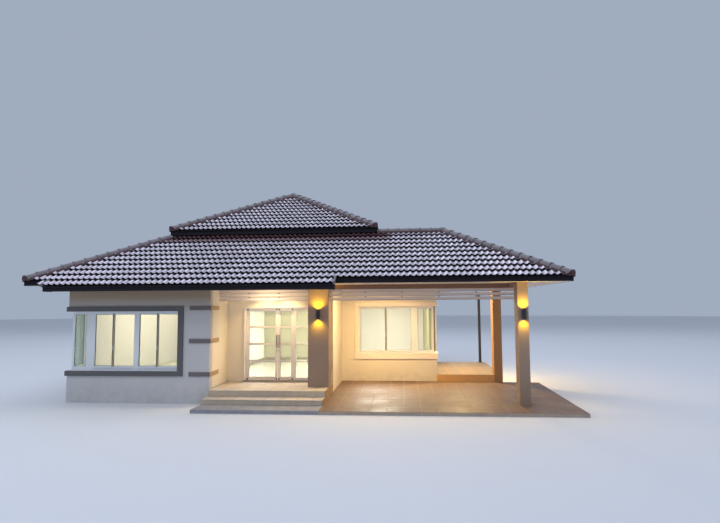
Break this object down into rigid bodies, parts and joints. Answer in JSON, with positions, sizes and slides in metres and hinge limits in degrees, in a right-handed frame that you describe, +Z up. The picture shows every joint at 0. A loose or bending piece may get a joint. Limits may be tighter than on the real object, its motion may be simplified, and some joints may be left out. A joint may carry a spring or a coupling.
{
  "type": "bungalow",
  "caption": "Single-storey bungalow with a two-tier hipped tile roof, corner windows, a glazed double entrance door, an open carport and a side terrace.",
  "frame": {"origin": "on the underside of the house slab, at the outer left corner of the front room at ground level", "axes": "+X along the front towards the carport, +Y from the front to the rear, +Z up"},
  "size_m": [14.04, 12.53, 6.6741],
  "materials": {
    "render": "matte",
    "render_warm": "matte",
    "trim_grey": "matte",
    "floor_tile": "satin",
    "sill_stone": "polished",
    "white_frame": "satin",
    "window_glass": "gloss",
    "soffit": "matte",
    "dark_metal": "satin",
    "fascia": "satin",
    "roof_tile": "satin",
    "ridge_tile": "satin"
  },
  "bodies": {
    "house": {"house_floor_slab": "render", "entrance_steps": "floor_tile", "carport_slab": "floor_tile", "terrace_slab": "floor_tile", "wing_front_wall": "render", "left_side_wall": "render", "porch_side_wall": "render", "door_lintel_wall": "render", "carport_side_wall": "render_warm", "carport_back_wall": "render_warm", "right_side_wall": "render", "rear_wall": "render", "hall_partitions": "render_warm", "window_surrounds": "trim_grey", "accent_bars": "trim_grey", "wing_window": "white_frame", "carport_window": "white_frame", "plain_windows": "white_frame", "window_glass": "window_glass", "entrance_frame": "white_frame", "entrance_threshold": "sill_stone", "porch_column": "render_warm", "carport_columns": "render_warm", "terrace_post": "dark_metal", "roof_beams": "render_warm", "louvres": "soffit", "ceiling_and_soffit": "soffit", "lower_fascia": "fascia", "front_eave_extension": "fascia", "upper_fascia": "fascia", "lower_front_slope": "roof_tile", "lower_left_slope": "roof_tile", "lower_rear_slope": "roof_tile", "lower_right_slope": "roof_tile", "carport_rear_slope": "roof_tile", "carport_end_slope": "roof_tile", "upper_roof": "roof_tile", "lower_ridge_caps": "ridge_tile", "upper_ridge_caps": "ridge_tile", "wall_lamps": "dark_metal"},
    "main_leaf": {"main_leaf": "white_frame", "main_leaf_glass": "window_glass"},
    "side_leaf": {"side_leaf": "white_frame", "side_leaf_glass": "window_glass"}
  },
  "joints": [
    {"name": "main_leaf_hinge", "type": "hinge", "parent": "house", "child": "main_leaf", "pos_m": [4.434, 1.61, 1.4], "axis": [0, 0, 1], "range_deg": [0, 90]},
    {"name": "side_leaf_hinge", "type": "hinge", "parent": "house", "child": "side_leaf", "pos_m": [5.806, 1.61, 1.4], "axis": [0, 0, 1], "range_deg": [-90, 0]}
  ]
}
